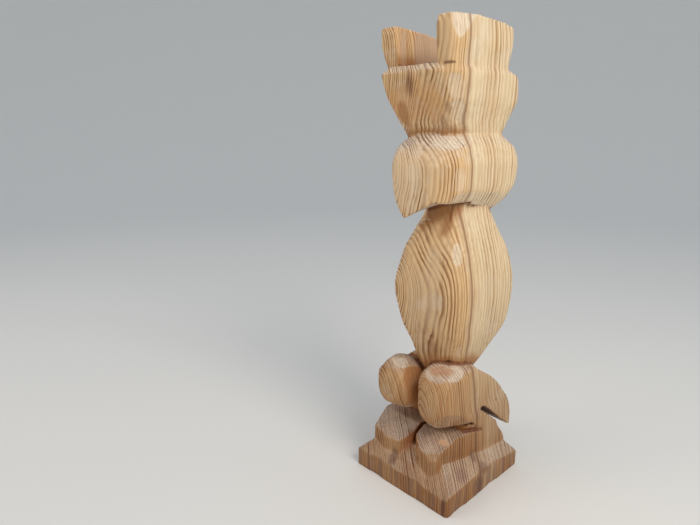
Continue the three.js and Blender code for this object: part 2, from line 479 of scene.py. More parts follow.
@dataclass(frozen=True)
class Base:
    """Square foot of the block: sawn sides and a hipped top that was cut by knife."""

    width: float = PLAN.base_width
    depth: float = PLAN.base_depth
    side: float = 14.6

    def forms(self) -> list[Form]:
        """Gives the block with its ten hip flats."""
        x, y, side = self.width / 2, self.depth / 2, self.side
        block = Loft([[height, -x, x, -y, y, 2, 2.5, 3, 2] for height in (-6, 34)], flow=False)
        hips = [
            Flat((0.03, -0.80, 0.60), (-20, -y, side + 1.0)),
            Flat((-0.05, -0.82, 0.57), (-x, -y, side)),
            Flat((0.06, -0.76, 0.65), (x, -y, side + 0.3)),
            Flat((0.70, -0.06, 0.71), (x, -y, side + 0.3)),
            Flat((0.74, 0.02, 0.67), (x, -4, side + 2.8)),
            Flat((0.70, 0.10, 0.70), (x, y, side - 2.5)),
            Flat((-0.66, -0.03, 0.75), (-x, -y, side + 0.4)),
            Flat((-0.76, 0.06, 0.65), (-x, y, side + 0.5)),
            Flat((0.10, 0.72, 0.69), (x, y, side - 2.5)),
            Flat((-0.05, 0.60, 0.80), (-x, y, side + 0.5)),
        ]
        return [Form(common(block, *hips, edge=0.8), (-x, -y, -6), (x, y, 34), strokes=70)]


@dataclass(frozen=True)
class Toes:
    """Two wedge-shaped toes whose tops slope down to the front."""

    sole: float = 10.0
    half_width: float = 41.0

    def toe(self, side: Sequence[Sequence[float]], plan: Sequence[Sequence[float]], *flats: Flat) -> Field:
        """Carves one toe.

        Args:
            side: Its outline seen from the side.
            plan: Its outline seen from above.
            *flats: Further slices off it.

        Returns:
            The toe.
        """
        wedge = Prism(Run.ALONG_X, side, -self.half_width, self.half_width)
        return common(Prism(Run.UP, plan, self.sole, 60), wedge, *flats, edge=0.8)

    def forms(self) -> list[Form]:
        """Gives both toes. The right one runs on as a narrow ledge along the haunch."""
        right_side = [
            [-46, 14], [-46, 35.5], [-24, 49], [-6, 48.5], [14, 44.3], [31, 40], [39.6, 29.9],
            [43, 24], [43, 14],
        ]
        right = [
            [11, -41], [24, -43.5], [29.5, -41.5], [33.5, -27], [36.5, -8], [38, 12], [38, 43], [4, 43],
            [4, -10], [2, -33],
        ]
        left_side = [[-46, 14], [-46, 33.5], [-24, 48], [4, 48], [4, 14]]
        left = [[-37, -40], [-23, -43.3], [-8, -42.5], [-1, -33], [-1, 4], [-38, 4], [-39.5, -20]]
        nose = Flat((0.18, -0.80, 0.57), (24, -43.5, 33))
        inner = Flat((-0.72, -0.62, 0.30), (5, -41, 34))
        left_nose = Flat((-0.10, -0.86, 0.50), (-28, -43, 33.5))
        left_inner = Flat((0.75, -0.55, 0.36), (-5, -41, 34))
        right_toe = self.toe(right_side, right, nose, inner)
        left_toe = self.toe(left_side, left, left_nose, left_inner)
        return [
            Form(right_toe, (2, -44, 10), (38, 43, 50), strokes=22),
            Form(left_toe, (-39.5, -44, 10), (-1, 4, 49), strokes=22),
        ]


@dataclass(frozen=True)
class Haunches:
    """Both haunches, the rump and the swept tail, with the slanting notch under the tail."""

    half_width: float = 38.0
    top: float = 111.0

    def forms(self) -> list[Form]:
        """Gives the haunches as one form."""
        x = self.half_width
        profile = [
            [-10, 18], [-10, 52], [-12, 60], [-15, 67], [-20, 71], [-20, 90], [-17, 103],
            [-12, self.top - 3.5], [-2.3, 101.9], [8, 95.5], [15.4, 90.8], [22.6, 85.0], [29.4, 78.4],
            [36.8, 70.6], [43.0, 63.0], [47.5, 55.6], [49.6, 48.5], [50, 40.5], [49.9, 34.2], [47.5, 35.3],
            [38.6, 42.2], [29.6, 49.6], [18.4, 59.5], [10.4, 65.6], [5.4, 67.8], [3.2, 66.6], [4.4, 64.6],
            [7.8, 62.4], [17.4, 54.9], [28.4, 46.3], [31.6, 39.2], [39.6, 29.9], [43, 24], [43, 18],
        ]
        across = [[-x + 1, 10], [x, 10], [x, 104], [x - 6, 114], [-6, 114], [-x + 8, 93], [-x, 78], [-x, 30]]
        side_view = Prism(Run.ALONG_X, profile, -x, x)
        front_view = Prism(Run.ALONG_Y, across, -60, 60)
        body = common(side_view, front_view, UNDERCUT, edge=0.8)
        return [Form(body, (-x, -20, 10), (x, 50, 114), strokes=30, stroke_depth=(0.1, 0.35))]


@dataclass(frozen=True)
class Knees:
    """Two beams along Y with domed ends, sliced by knife along their shoulders."""

    front: float = -46.0

    def forms(self) -> list[Form]:
        """Gives both knees. Keys run from the heel to the dome."""
        right = Loft([
            [0, 14, 38, 58, 103, 8, 3, 10, 8],
            [14, 8.5, 38, 58, 107.5, 12, 4, 11, 12],
            [26, 5.5, 38, 58.5, 109.5, 14, 5, 11, 16],
            [35, 6, 37, 59.5, 108, 16, 8, 12, 18],
            [41, 9.5, 34, 64, 103, 16, 11, 12, 17],
            [44.3, 14.5, 30, 70, 96, 12, 12, 12, 12],
            [-self.front, 20, 25, 78, 88, 6, 6, 6, 6],
        ], Axis.FORWARD)
        left = Loft([
            [0, -34, -4, 64, 92, 12, 8, 8, 12],
            [14, -37, -2, 61, 98.5, 14, 12, 14, 20],
            [26, -37.6, 0, 60, 103.2, 18, 15, 17, 24],
            [35, -36.6, -1, 61.5, 102.8, 19, 15, 17, 24],
            [41, -32.3, -5, 65, 97.5, 15, 13, 14, 18],
            [44, -26.5, -9, 71, 92, 10, 10, 10, 10],
            [-self.front - 0.4, -21, -14, 77, 85, 6, 6, 6, 6],
        ], Axis.FORWARD)
        right_flats = [
            UNDERCUT,
            Flat((0.62, -0.16, 0.77), (33.4, -24, 105.5)),
            Flat((0.05, -0.52, 0.85), (20, -33, 106.8)),
        ]
        left_flats = [
            Flat((-0.76, -0.16, 0.63), (-34.6, -30, 92.3)),
            Flat((0.22, -0.36, 0.91), (-13, -31, 102.0)),
            Flat((0.86, -0.30, 0.41), (-4.5, -33, 93)),
            Flat((0.10, -0.50, -0.86), (-19, -34, 62)),
        ]
        right_knee = common(right, *right_flats, edge=0.8)
        left_knee = common(left, *left_flats, edge=0.8)
        return [
            Form(right_knee, (5, -47, 58), (38, 0, 110), strokes=26, faces=right_flats[1:]),
            Form(left_knee, (-38, -47, 59), (0, 0, 104), strokes=26, faces=left_flats[1:2]),
        ]


@dataclass(frozen=True)
class Torso:
    """Egg-shaped torso with a soft ridge on its front-right corner."""

    neck: float = 238.0

    def forms(self) -> list[Form]:
        """Gives the egg."""
        egg = Loft([
            [94, -12, 22, -18, 12, 16, 14, 14, 14],
            [98, -14, 25.6, -22, 18.6, 18, 16, 16, 16],
            [112, -16.5, 30.6, -28, 31.8, 19, 15, 18, 18],
            [136, -24.6, 36.8, -34, 47.6, 17, 14, 18, 18],
            [163, -28, 38.6, -37, 49.2, 14, 14, 18, 18],
            [190, -24.8, 36.2, -34, 42.4, 18, 13, 18, 18],
            [210, -17.4, 30.6, -28.5, 33, 19, 11, 18, 18],
            [224, -12.4, 26.6, -23.5, 28.2, 18, 9, 18, 18],
            [self.neck, -12, 24.4, -20, 25, 16, 9, 16, 16],
        ])
        shoulder = Slice.at((31, -29.5, 195.6), (0.65, -0.70, 0.31), 8.0, 0.6, 0.8)
        return [Form(egg, (-29, -38, 94), (39, 50, self.neck), strokes=100, slices=[shoulder],
                     stroke_depth=(0.12, 0.5))]


@dataclass(frozen=True)
class Head:
    """Head, rounded over the top and behind, ending in front in a beak that hooks down."""

    brow: float = 285.0

    def forms(self) -> list[Form]:
        """Gives the head with its beak."""
        body = Loft([
            [218, -14.2, 24, -45.4, 22, 10, 14, 14, 14],
            [224, -18.2, 27.5, -46.2, 31.6, 12, 18, 18, 16],
            [232, -21.2, 32.3, -47.0, 40.4, 13.5, 22, 18, 16],
            [244, -23.4, 35.2, -47.2, 47.6, 14.5, 22, 18, 16],
            [256, -25, 35.5, -46.5, 49, 14.5, 20, 18, 16],
            [268, -25.2, 33, -41, 45.4, 15, 18, 16, 16],
            [277, -21.8, 28, -31.5, 36, 16, 16, 15, 14],
            [self.brow, -17, 23, -24, 29, 14, 14, 14, 12],
        ])
        under = [[-60, 180], [21, 180], [21, 233.0], [-6, 217.8], [-20, 238.6], [-60, 256]]
        chin = Prism(Run.ALONG_Y, under, -60, -12, 0.0093)
        cheek = Prism(Run.ALONG_Y, [[20, 180], [60, 180], [60, 231], [20, 232.2]], -60, -12)
        behind = [[-12, 180], [-12, 230], [14, 225], [34, 221], [70, 221], [70, 180]]
        nape = Prism(Run.ALONG_X, behind, -60, 60)
        jaw = Flat((0.80, -0.04, -0.60), (33.8, 0, 237))
        cut = common(body, outside(chin), outside(cheek), outside(nape), edge=0.7)
        skull = common(cut, jaw, edge=1.2)
        brows = [
            Slice.at((23.5, -30.1, 274.2), (0.41, -0.49, 0.77), 6.5, 0.6, 0.9),
            Slice.at((14.5, -34.6, 273.9), (0.16, -0.55, 0.82), 6.0, 0.5, 0.8),
        ]
        return [Form(skull, (-26, -48, 218), (36, 50, self.brow), strokes=80, slices=brows)]


@dataclass(frozen=True)
class Bowl:
    """Flared bowl with a crisp front-left corner, a soft front-right corner and a chamfered rim."""

    rim: float = 319.0

    def forms(self) -> list[Form]:
        """Gives the bowl with its rim."""
        rim = self.rim
        cup = Loft([
            [272, -20, 25.6, -26, 32.4, 6, 14, 14, 8],
            [278, -22, 27.0, -29, 34.6, 6, 16, 15, 8],
            [290, -26, 29.5, -35, 40.9, 5, 16, 15, 8],
            [304, -30, 32.3, -41, 45.2, 4, 16, 15, 8],
            [rim - 3, -30.9, 32.8, -45, 42.6, 3.0, 16, 14, 8],
            [rim, -30.9, 32.6, -45.6, 40.4, 2.5, 16, 14, 8],
        ])
        edge = Loft([
            [rim - 4, -28, 30, -42, 38, 2.5, 14, 14, 8],
            [rim, -30.9, 32.6, -45.6, 40.4, 2.5, 16, 14, 8],
            [rim + 5, -26, 29.5, -41.5, 30, 2.5, 12, 14, 8],
        ], flow=False)

        def joined(points: Array) -> Array:
            return smooth_min(cup(points), edge(points), 0.4)

        corner = [
            Slice.at((28.6, -35.2, 305.2), (0.74, -0.64, -0.21), 7.0, 0.45),
            Slice.at((26, -30.5, 293), (0.70, -0.57, -0.43), 6.0, 0.4),
        ]
        return [Form(joined, (-31, -46, 272), (33, 45, rim + 5), strokes=80, slices=corner)]


@dataclass(frozen=True)
class Crown:
    """Two upright slabs with a clear gap between them."""

    foot: float = 316.0
    rim: float = 322.0
    top: float = PLAN.crown_top

    def forms(self) -> list[Form]:
        """Gives both slabs as one form."""
        foot, rim, top = self.foot, self.rim, self.top
        right = Prism(Run.ALONG_X, [
            [-42.3, foot], [-42.6, rim], [-44.9, 336], [-45.2, 347], [-43.8, top - 1], [-35, top - 0.3],
            [-20, top], [-4, top - 0.2], [12, top - 0.9], [23, top - 2.7], [27.9, 347.2],
            [28.8, 338], [28.4, 330], [24, rim], [20, foot],
        ], 17.2, 34)
        left = Prism(Run.ALONG_X, [
            [-40, foot], [-40.5, rim], [-44.8, 338], [-45.9, 345], [-44.4, 349.7], [-20, 348.7],
            [2, 347.2], [22, 343.6], [27, 336], [23, rim], [20, foot],
        ], -32, -18)
        plan = Loft([
            [foot, -25.3, 30.5, -43.6, 27, 3, 10, 9, 4],
            [rim + 6, -29.2, 31, -45.2, 28, 3, 10, 9, 4],
            [340, -30.6, 31.8, -46.7, 30, 3, 10, 9, 4],
            [362, -30.6, 31.2, -46.7, 30, 3, 10, 9, 4],
        ])
        corner = Flat.through_points((26.5, -45.6, 354), (31.0, -40.2, 338.5), (31.8, -20, 354))

        def slabs(points: Array) -> Array:
            return np.minimum(right(points), left(points))

        return [Form(common(plan, slabs, corner, edge=0.5), (-31, -47, foot), (32, 30, top), strokes=40,
                     faces=[corner], stroke_depth=(0.1, 0.3))]


class Carving:
    """The whole block: every form, joined with knifed-in creases."""

    crease: float = 0.8

    def __init__(self, rng: np.random.Generator) -> None:
        """Makes and whittles the forms.

        Args:
            rng: Source of the random knife strokes.
        """
        makers = (Base(), Toes(), Haunches(), Knees(), Torso(), Head(), Bowl(), Crown())
        self.forms = [form for maker in makers for form in maker.forms()]
        for form in self.forms:
            form.whittle(rng)

    def __call__(self, points: Array) -> Array:
        """Gives the distance of each point from the carving."""
        distance = self.forms[0](points)
        for form in self.forms[1:]:
            distance = smooth_min(distance, form(points), self.crease)
        return np.maximum(distance, -points[:, 2])

    def reach(self, near: float) -> None:
        """Sets how far outside its box each form is still measured exactly.

        Args:
            near: The distance, in millimetres.
        """
        for form in self.forms:
            form.near = near


# ---- Meshing ---------------------------------------------------------------------------


@dataclass
class Skin:
    """A mesh in arrays: corners and four-sided faces."""

    points: Array
    quads: Array

    def relax(self) -> None:
        """Moves each corner halfway to the middle of its neighbours."""
        total = np.zeros_like(self.points)
        count = np.zeros(len(self.points))
        for side in range(4):
            first, second = self.quads[:, side], self.quads[:, (side + 1) % 4]
            for here, there in ((first, second), (second, first)):
                for axis in range(3):
                    total[:, axis] += np.bincount(here, self.points[there, axis], len(self.points))
                count += np.bincount(here, minlength=len(self.points))
        self.points += 0.5 * (total / count[:, None] - self.points)

    def settle(self, shape: Field, rounds: int) -> None:
        """Draws the corners onto the shape's surface.

        Args:
            shape: The field whose zero is the surface.
            rounds: How often to repeat it.
        """
        for _ in range(rounds):
            step = np.clip(shape(self.points), -0.6, 0.6)
            self.points -= step[:, None] * gradient(shape, self.points)


def sample(shape: Field, low: Array, counts: Sequence[int], cell: float) -> Array:
    """Reads a field on a regular grid, layer by layer.

    Args:
        shape: The field.
        low: The grid's first corner.
        counts: How many places it has along X, Y and Z.
        cell: The spacing.

    Returns:
        The values, indexed by X, Y and Z.
    """
    values = np.empty(counts, dtype=np.float32)
    x, y = (low[axis] + cell * np.arange(counts[axis]) for axis in (0, 1))
    flat = np.stack(np.meshgrid(x, y, indexing="ij"), axis=-1).reshape(-1, 2)
    depth = 16
    for start in range(0, counts[2], depth):
        layers = np.arange(start, min(start + depth, counts[2]))
        z = low[2] + cell * layers
        points = np.concatenate([np.repeat(flat, len(z), axis=0), np.tile(z, len(flat))[:, None]], axis=1)
        values[:, :, layers] = shape(points).reshape(counts[0], counts[1], len(z))
    return values


def cells_round(place: Array, axis: int, shifts: Sequence[tuple[int, int]]) -> list[Array]:
    """Lists the cells that share grid edges.

    Args:
        place: The edges' first corners, one row each.
        axis: The axis that they run along.
        shifts: How many cells back along each of the two other axes.

    Returns:
        The cells, one array for each pair of shifts.
    """
    return [place - np.insert(shift, axis, 0) for shift in shifts]


def surface_nets(values: Array, low: Array, cell: float) -> Skin:
    """Meshes the zero of a sampled field, one corner in each cell that it crosses.

    Args:
        values: The field on a grid.
        low: The grid's first corner.
        cell: The spacing.

    Returns:
        The closed mesh, faces out.
    """
    turn = ((1, 1), (0, 1), (0, 0), (1, 0))
    inside = values < 0
    cells = tuple(n - 1 for n in values.shape)
    total = np.zeros((*cells, 3), dtype=np.float32)
    count = np.zeros(cells, dtype=np.float32)
    crossings = []
    for axis in range(3):
        here = [slice(None)] * 3
        there = [slice(None)] * 3
        here[axis], there[axis] = slice(0, -1), slice(1, None)
        a, b = values[tuple(here)], values[tuple(there)]
        change = inside[tuple(here)] != inside[tuple(there)]
        place = np.argwhere(change)
        crossings.append((axis, place, inside[tuple(here)][change]))
        along = a[change] / (a[change] - b[change])
        where = place.astype(np.float32)
        where[:, axis] += along
        for owner in cells_round(place, axis, sorted(turn)):
            fits = np.all((owner >= 0) & (owner < cells), axis=1)
            index = tuple(owner[fits].T)
            np.add.at(total, index, where[fits])
            np.add.at(count, index, 1)
    used = count > 0
    number = np.full(cells, -1, dtype=np.int64)
    number[used] = np.arange(int(used.sum()))
    points = low + cell * (total[used] / count[used][:, None]).astype(float)
    quads = []
    for axis, place, starts_inside in crossings:
        quad = np.stack([number[tuple(owner.T)] for owner in cells_round(place, axis, turn)], axis=1)
        outward = starts_inside if axis != 1 else ~starts_inside
        quads.append(np.where(outward[:, None], quad, quad[:, ::-1]))
    return Skin(points, np.concatenate(quads))


# ---- Finish ----------------------------------------------------------------------------


def linear(colour: str) -> tuple[float, float, float, float]:
    """Turns an sRGB hex colour into the linear values that shaders take.

    Args:
        colour: Six hex digits.

    Returns:
        Red, green, blue and a full alpha.
    """
    parts = [int(colour[i : i + 2], 16) / 255 for i in (0, 2, 4)]
    r, g, b = (v / 12.92 if v <= 0.04045 else ((v + 0.055) / 1.055) ** 2.4 for v in parts)
    return r, g, b, 1.0


class Kind(Enum):
    """The shader nodes in use: the end of the type's name, and settings that are always the same."""

    PLACE = ("TexCoord", {})
    SPLIT = ("SeparateXYZ", {})
    MATHS = ("Math", {})
    VECTOR = ("VectorMath", {})
    RAMP = ("MapRange", {"interpolation_type": "SMOOTHSTEP"})
    MIX = ("Mix", {"data_type": "RGBA"})
    CURVE = ("FloatCurve", {})
    NOISE = ("TexNoise", {})
    LINE_NOISE = ("TexNoise", {"noise_dimensions": "1D"})
    WHITE_NOISE = ("TexWhiteNoise", {"noise_dimensions": "1D"})
    SPOT = ("Attribute", {})
    BUMP = ("Bump", {})
    PRINCIPLED = ("BsdfPrincipled", {})
    OUTPUT = ("OutputMaterial", {})


def add(tree: bpy.types.NodeTree, kind: Kind, feeds: dict | Sequence = (), output: int | str = 0,
        **settings: object) -> bpy.types.NodeSocket | None:
    """Adds a node with its settings, its socket values and its links.

    Args:
        tree: The tree that gets the node.
        kind: The node's type and usual settings.
        feeds: Values or output sockets that feed the inputs, in order or by name or number.
        output: Name or number of the output to return.
        **settings: Further properties of the node.

    Returns:
        The output socket, or None where the node has none.
    """
    type_name, usual = kind.value
    node = tree.nodes.new("ShaderNode" + type_name)
    for name, value in {**usual, **settings}.items():
        setattr(node, name, value)
    for socket, value in (feeds if isinstance(feeds, dict) else dict(enumerate(feeds))).items():
        if isinstance(value, bpy.types.NodeSocket):
            tree.links.new(value, node.inputs[socket])
        else:
            node.inputs[socket].default_value = value
    return node.outputs[output] if node.outputs else None


def new_material(name: str) -> tuple[bpy.types.Material, bpy.types.NodeTree]:
    """Starts a material with an empty tree.

    Args:
        name: The material's name.

    Returns:
        The material and its tree.
    """
    made = bpy.data.materials.new(name)
    made.use_nodes = True
    made.node_tree.nodes.clear()
    return made, made.node_tree


class Station(NamedTuple):
    """Where the dark ring passes at one height, in mm, and the way it faces there, in degrees."""

    height: float
    bearing: float
    x: float
    y: float


class StainOrPaintedLight(NamedTuple):
    """A patch of colour, some resinous or weathered marks and some painted shade or light: its middle and
    half sizes in mm, its colour and strength.
    """

    middle: tuple[float, float, float]
    half: tuple[float, float, float]
    colour: str
    strength: float


class Coat(NamedTuple):
    """A layer of colour over those before it, and the factors whose product is its share.

    A factor is a socket, a number, or the five inputs of a ramp: the socket that it reads, the
    two values that it runs between, and what it gives at each of them.
    """

    colour: Sequence[float] | bpy.types.NodeSocket
    factors: Sequence[float | tuple | bpy.types.NodeSocket]
    blend: str = "MIX"


@dataclass(frozen=True)
class Pine:
    """Bare pine, whittled and lightly sanded: pale early wood between narrow resinous rings.

    The rings are cylinders round a heart that lies outside the block and wanders with height,
    so upright faces show fine lines, domes show circles and slopes show arches. One wide dark
    ring runs the whole height, and the years beyond it are narrow and strongly drawn: each pair
    of year_widths is where a run of years starts beyond that ring and how wide they are. End
    grain looks greyer low down and paler high up, and fresh slices look paler. Painted shade
    darkens the wood towards the bottom, less on faces that look up or down, lays orange-brown
    into the creases and a lighter brown into the broad hollows.
    """

    early: str = "efd9b2"
    late: str = "b28352"
    outer: str = "e6bd88"
    outer_late: str = "8f5d36"
    dark_year: str = "94694b"
    end_grain: str = "d8c4b2"
    end_high: str = "f0e3cf"
    end_late: str = "7b5b4a"
    sliced: str = "efe2cb"
    # painted shade: brown laid into the broad hollows
    hollow_shade: str = "a86f3e"
    # painted shade: orange-brown laid into the creases
    crease: str = "743f20"
    # painted shade: multiplied in to darken the wood towards the bottom
    low_shade: str = "a98a70"
    radius: float = 200.0
    year_widths: Sequence[tuple[float, float]] = ((0.0, 3.7), (3.0, 2.2), (29.0, 1.25))
    unevenness: float = 1.6
    stations: Sequence[Station] = (
        Station(0, -132, 40, 0), Station(50, -124, 38, -2), Station(85, -112, 38, -9),
        Station(125, -110, 35, -16), Station(165, -110, 38, -19), Station(215, -106, 29, -21),
        Station(250, -108, 34, -23), Station(281, -116, 27, -22), Station(310, -121, 30, -27),
        Station(353, -114, 31, -26),
    )
    stains_and_painted_light: Sequence[StainOrPaintedLight] = (
        # painted shade and warm bounce on the bowl's overhanging front
        StainOrPaintedLight((-8, -38, 300), (30, 14, 24), "cf8f50", 0.4),
        # painted light: paler head front
        StainOrPaintedLight((-8, -45, 246), (24, 12, 32), "f0d6b4", 0.4),
        StainOrPaintedLight((10, -36, 165), (16, 10, 42), "dcbf9c", 0.35),
        # painted shadow cast by the right slab on the left slab's inner face
        StainOrPaintedLight((-17, -12, 340), (3.5, 36, 20), "c0a590", 0.65),
        StainOrPaintedLight((26, -45, 336), (8, 3, 16), "d9b88e", 0.4),
        StainOrPaintedLight((-6, -43, 309), (6, 6, 15), "74421f", 0.65),
        StainOrPaintedLight((-17, -36, 292), (5, 8, 11), "9a5f2c", 0.5),
        StainOrPaintedLight((22, -34, 296), (3, 5, 7), "8a5836", 0.4),
        StainOrPaintedLight((16, -31, 285), (3, 5, 7), "8a5836", 0.4),
        # painted shade and warm bounce on the egg's down-facing lower front
        StainOrPaintedLight((14, -31, 121), (11, 6, 12), "8d5a2c", 0.5),
        # painted shade in the crease where the egg meets the right knee
        StainOrPaintedLight((25, -25, 112), (3, 4, 2.5), "4c2c19", 0.8),
        StainOrPaintedLight((22, -30, 105), (12, 9, 4), "a96c3c", 0.6),
        StainOrPaintedLight((39, -6, 27), (8, 5, 8), "6d4a42", 0.6),
        StainOrPaintedLight((45, -1, 20), (6, 7, 7), "6a4840", 0.5),
        StainOrPaintedLight((42, -25, 22), (8, 7, 8), "75524a", 0.45),
        StainOrPaintedLight((47, -8, 7), (4, 9, 9), "5f3c2e", 0.5),
        StainOrPaintedLight((-11, -46, 21), (5, 9, 8), "5f3c33", 0.55),
        StainOrPaintedLight((28, -30, 45.5), (5, 3.5, 3), "e6b083", 0.55),
        StainOrPaintedLight((9, -27, 47), (9, 9, 5), "6e4f43", 0.4),
        # painted shade in the notch between the toes
        StainOrPaintedLight((-1, -33, 34), (6, 10, 14), "8a4f2a", 0.6),
        StainOrPaintedLight((43.5, -50, 7), (2.5, 3, 9), "5a3024", 0.7),
        StainOrPaintedLight((38, 26, 66), (0.9, 0.9, 0.9), "2c1b12", 0.9),
        StainOrPaintedLight((29, 39, 66), (3, 2.5, 7), "b0525a", 0.4),
        StainOrPaintedLight((27, -42, 322.5), (5, 3, 0.9), "5f3420", 0.7),
    )
    roughness: float = 0.62

    def heart(self, tree: bpy.types.NodeTree, height: bpy.types.NodeSocket,
              cosine: bool) -> bpy.types.NodeSocket:
        """Lets one coordinate of the heart wander with height.

        Args:
            tree: The material's tree.
            height: The height in mm.
            cosine: True for X, False for Y.

        Returns:
            The coordinate in mm.
        """
        values = []
        for station in self.stations:
            bearing = math.radians(station.bearing)
            turn, start = (math.cos(bearing), station.x) if cosine else (math.sin(bearing), station.y)
            values.append(start - self.radius * turn)
        low, span = min(values), max(values) - min(values)
        share = add(tree, Kind.MATHS, (height, PLAN.crown_top), operation="DIVIDE")
        bent = add(tree, Kind.CURVE, {"Value": share})
        mapping = bent.node.mapping
        points = mapping.curves[0].points
        heights = [station.height / PLAN.crown_top for station in self.stations]
        first, *middle, last = [(at, (value - low) / span) for at, value in zip(heights, values)]
        points[0].location, points[-1].location = first, last
        for place in middle:
            points.new(*place)
        mapping.update()
        return add(tree, Kind.MATHS, (bent, span, low), operation="MULTIPLY_ADD")

    def rings(self, tree: bpy.types.NodeTree,
              moved: bpy.types.NodeSocket) -> tuple[bpy.types.NodeSocket, bpy.types.NodeSocket]:
        """Works out the growth rings.

        Args:
            tree: The material's tree.
            moved: The place in mm, already swayed a little by noise.

        Returns:
            Distance beyond the dark ring in mm, and the share of late wood.
        """
        put = partial(add, tree)
        x = put(Kind.SPLIT, (moved,))
        y, z = x.node.outputs[1], x.node.outputs[2]
        across = put(Kind.MATHS, (x, self.heart(tree, z, True)), operation="SUBTRACT")
        along = put(Kind.MATHS, (y, self.heart(tree, z, False)), operation="SUBTRACT")
        squared = put(Kind.MATHS, (along, along), operation="MULTIPLY")
        squared = put(Kind.MATHS, (across, across, squared), operation="MULTIPLY_ADD")
        radius = put(Kind.MATHS, (squared,), operation="SQRT")
        beyond = put(Kind.MATHS, (radius, self.radius), operation="SUBTRACT")
        (_, width), *narrower = self.year_widths
        years = put(Kind.MATHS, (beyond, width), operation="DIVIDE")
        for start, next_width in narrower:
            past = put(Kind.MATHS, (beyond, start), operation="SUBTRACT")
            past = put(Kind.MATHS, (past, 0.0), operation="MAXIMUM")
            years = put(Kind.MATHS, (past, 1 / next_width - 1 / width, years), operation="MULTIPLY_ADD")
            width = next_width
        uneven = put(Kind.LINE_NOISE, {"W": years, "Scale": 0.45, "Detail": 1.0})
        years = put(Kind.MATHS, (uneven, self.unevenness, years), operation="MULTIPLY_ADD")
        part = put(Kind.MATHS, (years,), operation="FRACT")
        year = put(Kind.MATHS, (years,), operation="FLOOR")
        strength = put(Kind.WHITE_NOISE, {"W": year})
        late = put(Kind.RAMP, (part, 0.28, 0.82, 0.0, 1.0))
        for share in ((part, 0.90, 1.0, 1.0, 0.0), (strength, 0.0, 1.0, 0.4, 1.0)):
            late = put(Kind.MATHS, (late, put(Kind.RAMP, share)), operation="MULTIPLY")
        return beyond, late

    def material(self) -> bpy.types.Material:
        """Builds the wood on Object coordinates.

        Returns:
            The material.
        """
        made, tree = new_material("pine, whittled and sanded")
        put = partial(add, tree)
        place = put(Kind.PLACE, output="Object")
        in_mm = put(Kind.VECTOR, {0: place, 3: 1 / MM}, operation="SCALE")
        drawn_out = put(Kind.VECTOR, (in_mm, (1.0, 1.0, 0.2)), operation="MULTIPLY")
        streaks = put(Kind.VECTOR, (in_mm, (1.0, 1.0, 0.05)), operation="MULTIPLY")
        long_streaks = put(Kind.VECTOR, (in_mm, (1.0, 1.0, 0.02)), operation="MULTIPLY")
        moved = in_mm
        for size, sway in ((45.0, 6.0), (9.0, 1.3)):
            noise = {"Vector": drawn_out, "Scale": 1 / size, "Detail": 2.0}
            push = put(Kind.VECTOR, (put(Kind.NOISE, noise, output=1), (0.5,) * 3), operation="SUBTRACT")
            moved = put(Kind.VECTOR, (push, (sway,) * 3, moved), operation="MULTIPLY_ADD")
        beyond, late = self.rings(tree, moved)
        height = put(Kind.SPLIT, (in_mm,), output=2)
        fibres, fine, cloud, patch, speck, stripes = (
            put(Kind.NOISE, {"Vector": vector, "Scale": scale, "Detail": detail})
            for vector, scale, detail in (
                (streaks, 1.6, 3.0), (streaks, 0.7, 2.0), (drawn_out, 1 / 22, 2.0), (drawn_out, 1 / 13, 2.0),
                (in_mm, 1.1, 2.0), (long_streaks, 0.22, 1.0),
            )
        )
